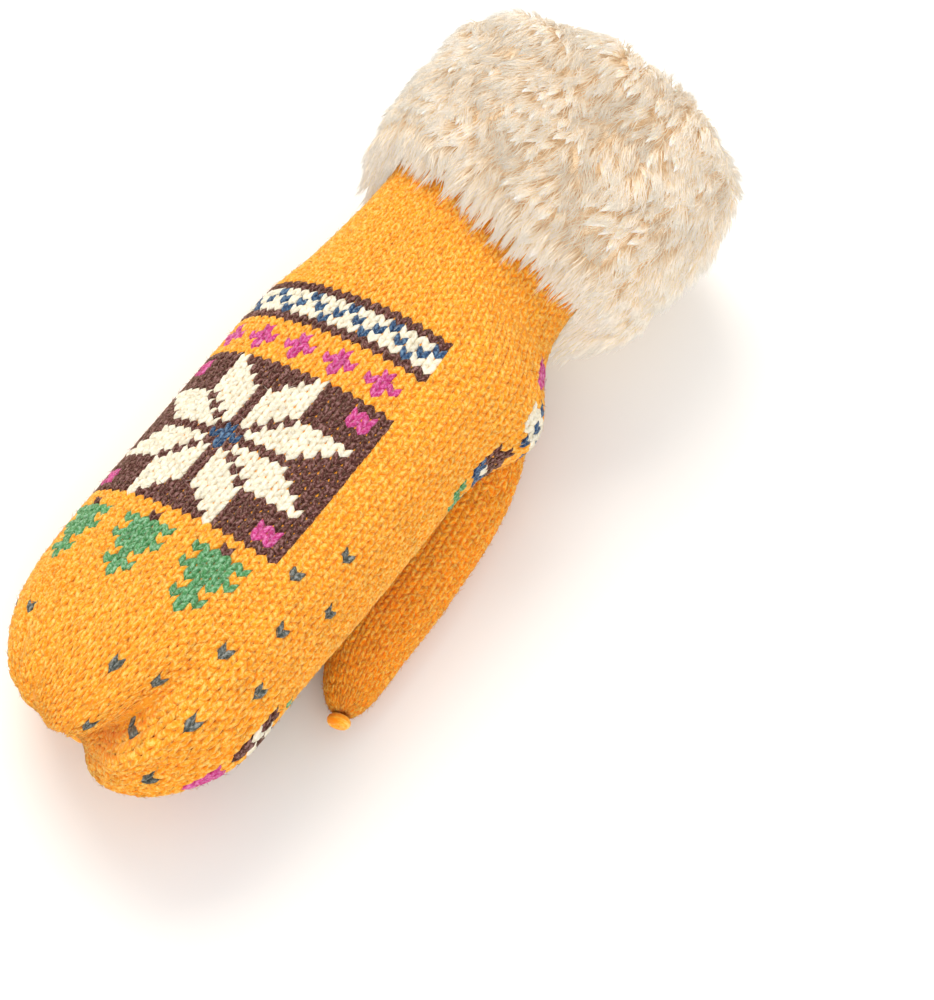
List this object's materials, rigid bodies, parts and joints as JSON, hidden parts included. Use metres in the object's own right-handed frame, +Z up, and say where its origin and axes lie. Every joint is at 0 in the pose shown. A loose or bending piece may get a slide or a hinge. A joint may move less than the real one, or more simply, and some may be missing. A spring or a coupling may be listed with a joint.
{
  "type": "knitted mitten with a plush cuff",
  "caption": "Right-hand knitted wool mitten with a charted pattern and a turned-down cream plush cuff, lying back of the hand up",
  "frame": {"origin": "under the middle of the part's box, on the surface that it lies on", "axes": "+Y from the fingertips to the cuff, +X to the thumb's side, +Z up from the surface"},
  "size_m": [0.1106, 0.251, 0.0859],
  "materials": {
    "mustard_knit": "matte",
    "pale_yarn": "matte",
    "cream_plush": "matte"
  },
  "bodies": {
    "root": {"hand": "mustard_knit", "thumb": "mustard_knit", "plush_cuff": "cream_plush", "tip_knot": "pale_yarn", "thumb_knot": "pale_yarn"}
  },
  "joints": []
}
